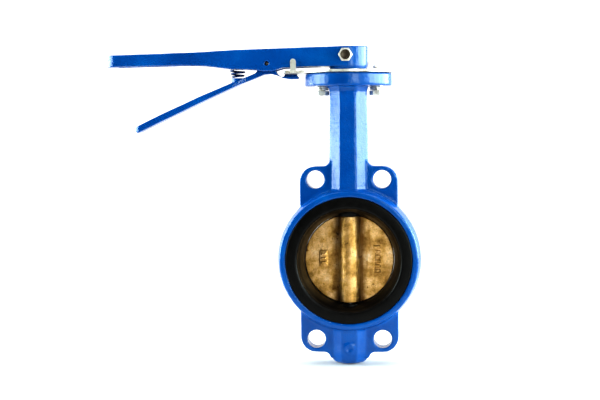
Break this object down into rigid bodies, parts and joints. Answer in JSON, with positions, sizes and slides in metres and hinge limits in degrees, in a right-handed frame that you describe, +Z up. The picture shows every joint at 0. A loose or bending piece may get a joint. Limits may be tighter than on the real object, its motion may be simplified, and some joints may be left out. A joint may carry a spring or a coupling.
{
  "type": "butterfly valve",
  "caption": "Wafer butterfly valve with four locating lugs, rubber-lined bore, bronze disc and a squeeze-trigger hand lever over a notched plate.",
  "frame": {"origin": "centre of the bore, where the pipe axis and the stem axis cross", "axes": "+Y along the pipe axis towards the rear pipe face, +Z up the stem to the lever, -X along the lever when closed"},
  "size_m": [0.3265, 0.1171, 0.3296],
  "materials": {
    "blue_coating": "glossy fusion-bonded blue epoxy over a sand casting",
    "seat_rubber": "satin black moulded EPDM rubber",
    "cast_bronze": "sand-cast aluminium bronze, faint pits, ground rim",
    "stainless_steel": "turned and drawn stainless steel",
    "zinc_plate": "bright zinc-plated pressed steel",
    "bush_polymer": "off-white bearing polymer",
    "spring_steel": "dark coated spring wire"
  },
  "bodies": {
    "valve_body": {"body_casting": "blue_coating", "seat_liner": "seat_rubber", "stem_o_ring_upper": "seat_rubber", "stem_o_ring_lower": "seat_rubber", "boss_o_ring": "seat_rubber", "plate_bolt_left": "stainless_steel", "plate_bolt_right": "stainless_steel", "thrust_washer": "stainless_steel", "retaining_ring": "stainless_steel", "notch_plate": "zinc_plate", "flat_washer_left": "zinc_plate", "flat_washer_right": "zinc_plate", "spring_washer_left": "zinc_plate", "spring_washer_right": "zinc_plate", "upper_bush": "bush_polymer", "middle_bush": "bush_polymer", "lower_bush": "bush_polymer"},
    "spindle": {"stem": "stainless_steel", "disc": "cast_bronze", "lever": "blue_coating", "lever_clamp_bolt": "stainless_steel", "trigger_pin": "stainless_steel", "trigger_spring": "spring_steel"},
    "trigger": {"trigger": "blue_coating"}
  },
  "joints": [
    {"name": "stem_turn", "type": "hinge", "parent": "valve_body", "child": "spindle", "pos_m": [0, 0, 0], "axis": [0, 0, -1], "range_deg": [0, 90]},
    {"name": "trigger_squeeze", "type": "hinge", "parent": "spindle", "child": "trigger", "pos_m": [-0.0836, 0, 0.2034], "axis": [0, 1, 0], "range_deg": [-5, 10], "stiffness_Nm_per_rad": 1.2, "deforming": ["trigger_spring"]}
  ]
}
